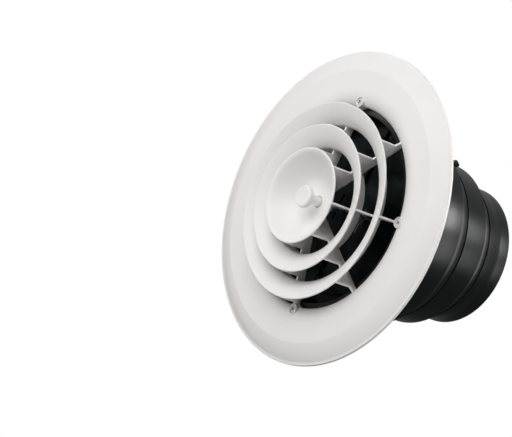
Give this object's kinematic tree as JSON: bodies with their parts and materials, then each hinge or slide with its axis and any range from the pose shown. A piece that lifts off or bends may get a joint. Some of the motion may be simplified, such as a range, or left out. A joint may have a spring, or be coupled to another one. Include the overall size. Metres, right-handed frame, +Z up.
{
  "type": "ceiling air diffuser",
  "caption": "Round louvred ceiling air diffuser with a stepped duct collar and a butterfly damper worked by a push-pull knob.",
  "frame": {"origin": "centre of the diffuser on the ceiling plane, where the flange's rear edge rests", "axes": "+Z runs up along the diffuser's axis into the duct; +X points at one of the four face screws"},
  "size_m": [0.335, 0.335, 0.2358],
  "materials": {
    "face_white": "semi-gloss moulded",
    "knob_white": "semi-gloss moulded",
    "screw_white": "white painted, semi-gloss",
    "collar_black": "satin moulded",
    "damper_black": "satin moulded",
    "steel": "zinc plated",
    "pin_black": "black oxide",
    "nylon": "natural nylon",
    "rubber": "matt"
  },
  "bodies": {
    "root": {"face_flange": "face_white", "outer_louver_ring": "face_white", "inner_louver_ring": "face_white", "centre_dish": "face_white", "rib_1": "face_white", "rib_2": "face_white", "rib_3": "face_white", "rib_4": "face_white", "rib_5": "face_white", "rib_6": "face_white", "rib_7": "face_white", "rib_8": "face_white", "face_screws": "screw_white", "duct_collar": "collar_black", "damper_bridge": "damper_black", "bridge_screws": "pin_black", "hinge_pins": "pin_black", "rod_bushing": "nylon", "friction_ring": "rubber"},
    "knob": {"knob": "knob_white", "damper_rod": "steel", "yoke": "damper_black", "yoke_nut": "steel", "stop_clip": "steel"},
    "blade_a": {"damper_blade_a": "damper_black", "crank_pin_a": "pin_black"},
    "blade_b": {"damper_blade_b": "damper_black", "crank_pin_b": "pin_black"}
  },
  "joints": [
    {"name": "knob_slide", "type": "slide", "parent": "root", "child": "knob", "axis": [0, 0, 1], "range_m": [0, 0.0156]},
    {"name": "blade_a_hinge", "type": "hinge", "parent": "root", "child": "blade_a", "pos_m": [0.00926, 0.00214, 0.0353], "axis": [0.225, -0.9744, 0], "range_deg": [0, 75.1]},
    {"name": "blade_b_hinge", "type": "hinge", "parent": "root", "child": "blade_b", "pos_m": [-0.00926, -0.00214, 0.0353], "axis": [-0.225, 0.9744, 0], "range_deg": [0, 75.1]}
  ],
  "couplings": [
    {"joint": "blade_a_hinge", "follows": "knob_slide", "rad_per_m": 83.91},
    {"joint": "blade_b_hinge", "follows": "knob_slide", "rad_per_m": 83.91}
  ]
}
